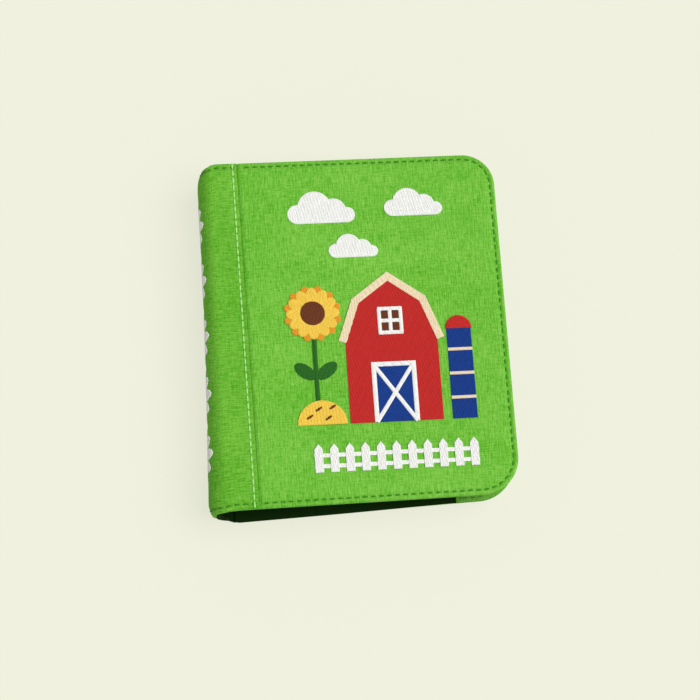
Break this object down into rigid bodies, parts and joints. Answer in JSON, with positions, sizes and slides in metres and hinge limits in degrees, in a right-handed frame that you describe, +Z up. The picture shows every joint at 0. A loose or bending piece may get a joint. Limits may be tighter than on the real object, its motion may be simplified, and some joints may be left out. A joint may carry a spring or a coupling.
{
  "type": "quiet book",
  "caption": "Soft cloth quiet book with padded covers, a rolled spine and felt leaves with turning and sliding play pieces.",
  "frame": {"origin": "middle of the closed book's footprint, on the outer face of the back cover", "axes": "+X from the spine to the fore-edge, +Y from the tail to the head of the pages, +Z up through the closed book"},
  "size_m": [0.2, 0.23, 0.0421],
  "materials": {
    "green_cloth": "heathered linen-look weave",
    "dark_felt": "dark green felt",
    "foam": "white foam pad",
    "red_felt": "felt",
    "blue_felt": "felt",
    "yellow_felt": "felt",
    "cream_felt": "felt",
    "brown_felt": "felt",
    "orange_felt": "felt",
    "leaf_felt": "felt",
    "black_felt": "felt",
    "zip_tape": "woven tape",
    "brass": "satin"
  },
  "bodies": {
    "back_cover": {"back_cover_cloth": "green_cloth", "back_cover_foam": "foam", "back_cover_lining": "dark_felt", "back_cover_sleeve": "green_cloth", "back_spine_strip": "green_cloth", "zip_pocket": "red_felt", "zip_tape": "zip_tape", "zip_chain": "brass"},
    "spine": {"spine_panel": "green_cloth", "spine_foam": "foam", "spine_lining": "dark_felt", "leaf_1_tab": "dark_felt", "leaf_2_tab": "dark_felt", "leaf_3_tab": "dark_felt", "leaf_4_tab": "dark_felt"},
    "front_cover": {"front_cover_cloth": "green_cloth", "front_cover_foam": "foam", "front_cover_lining": "dark_felt", "front_cover_sleeve": "green_cloth", "front_spine_strip": "green_cloth", "sun_patch": "yellow_felt"},
    "leaf_1": {"leaf_1_recto": "dark_felt", "leaf_1_verso": "dark_felt", "tractor_body": "blue_felt", "tractor_cab": "yellow_felt", "rear_wheel_brad": "brass", "front_wheel_brad": "brass"},
    "leaf_2": {"leaf_2_recto": "dark_felt", "leaf_2_verso": "dark_felt", "windmill_tower": "cream_felt", "windmill_cap": "red_felt", "windmill_brad": "brass"},
    "leaf_3": {"leaf_3_recto": "dark_felt", "leaf_3_verso": "dark_felt", "clock_dial": "cream_felt", "clock_brad": "brass"},
    "leaf_4": {"leaf_4_recto": "dark_felt", "leaf_4_verso": "dark_felt", "carrot_bed": "brown_felt"},
    "rear_wheel": {"rear_wheel": "black_felt"},
    "front_wheel": {"front_wheel": "black_felt"},
    "windmill_sails": {"windmill_sails": "yellow_felt"},
    "hour_hand": {"hour_hand": "red_felt"},
    "minute_hand": {"minute_hand": "red_felt"},
    "carrot_1": {"carrot_1_root": "orange_felt", "carrot_1_top": "leaf_felt"},
    "carrot_2": {"carrot_2_root": "orange_felt", "carrot_2_top": "leaf_felt"},
    "carrot_3": {"carrot_3_root": "orange_felt", "carrot_3_top": "leaf_felt"},
    "zip_slider": {"zip_slider": "brass", "zip_pull": "brass"}
  },
  "joints": [
    {"name": "spine_fold", "type": "hinge", "parent": "back_cover", "child": "spine", "pos_m": [-0.09721, 0, 0.00279], "axis": [0, -1, 0], "range_deg": [0, 90]},
    {"name": "cover_open", "type": "hinge", "parent": "spine", "child": "front_cover", "pos_m": [-0.09721, 0, 0.03931], "axis": [0, -1, 0], "range_deg": [0, 94.88]},
    {"name": "leaf_1_turn", "type": "hinge", "parent": "spine", "child": "leaf_1", "pos_m": [-0.0842, 0, 0.03155], "axis": [0, -1, 0], "range_deg": [0, 66]},
    {"name": "leaf_2_turn", "type": "hinge", "parent": "spine", "child": "leaf_2", "pos_m": [-0.0842, 0, 0.02455], "axis": [0, -1, 0], "range_deg": [0, 33]},
    {"name": "leaf_3_turn", "type": "hinge", "parent": "spine", "child": "leaf_3", "pos_m": [-0.0842, 0, 0.01755], "axis": [0, -1, 0], "range_deg": [-31, 0]},
    {"name": "leaf_4_turn", "type": "hinge", "parent": "spine", "child": "leaf_4", "pos_m": [-0.0842, 0, 0.01055], "axis": [0, -1, 0], "range_deg": [-61, 0]},
    {"name": "rear_wheel_spin", "type": "hinge", "parent": "leaf_1", "child": "rear_wheel", "pos_m": [-0.03624, -0.054, 0.02923], "axis": [0.0764, 0, 0.9971], "continuous": true},
    {"name": "front_wheel_spin", "type": "hinge", "parent": "leaf_1", "child": "front_wheel", "pos_m": [0.02558, -0.064, 0.02449], "axis": [0.0764, 0, 0.9971], "continuous": true},
    {"name": "sails_spin", "type": "hinge", "parent": "leaf_2", "child": "windmill_sails", "pos_m": [-0.02217, 0.0143, 0.02345], "axis": [0.0555, 0, 0.9985], "continuous": true},
    {"name": "hour_hand_turn", "type": "hinge", "parent": "leaf_3", "child": "hour_hand", "pos_m": [-0.02616, 0.02, 0.01769], "axis": [0.0346, 0, 0.9994], "continuous": true},
    {"name": "minute_hand_turn", "type": "hinge", "parent": "leaf_3", "child": "minute_hand", "pos_m": [-0.02613, 0.02, 0.01849], "axis": [0.0346, 0, 0.9994], "continuous": true},
    {"name": "carrot_1_pull", "type": "slide", "parent": "leaf_4", "child": "carrot_1", "axis": [0, 1, 0], "range_m": [0, 0.064]},
    {"name": "carrot_2_pull", "type": "slide", "parent": "leaf_4", "child": "carrot_2", "axis": [0, 1, 0], "range_m": [0, 0.064]},
    {"name": "carrot_3_pull", "type": "slide", "parent": "leaf_4", "child": "carrot_3", "axis": [0, 1, 0], "range_m": [0, 0.064]},
    {"name": "zip_slide", "type": "slide", "parent": "back_cover", "child": "zip_slider", "axis": [0, -1, 0], "range_m": [0, 0.108]}
  ],
  "couplings": [
    {"joint": "leaf_1_turn", "follows": "cover_open", "ratio": 0.66},
    {"joint": "leaf_2_turn", "follows": "cover_open", "ratio": 0.33},
    {"joint": "leaf_3_turn", "follows": "spine_fold", "ratio": -0.33},
    {"joint": "leaf_4_turn", "follows": "spine_fold", "ratio": -0.66}
  ]
}
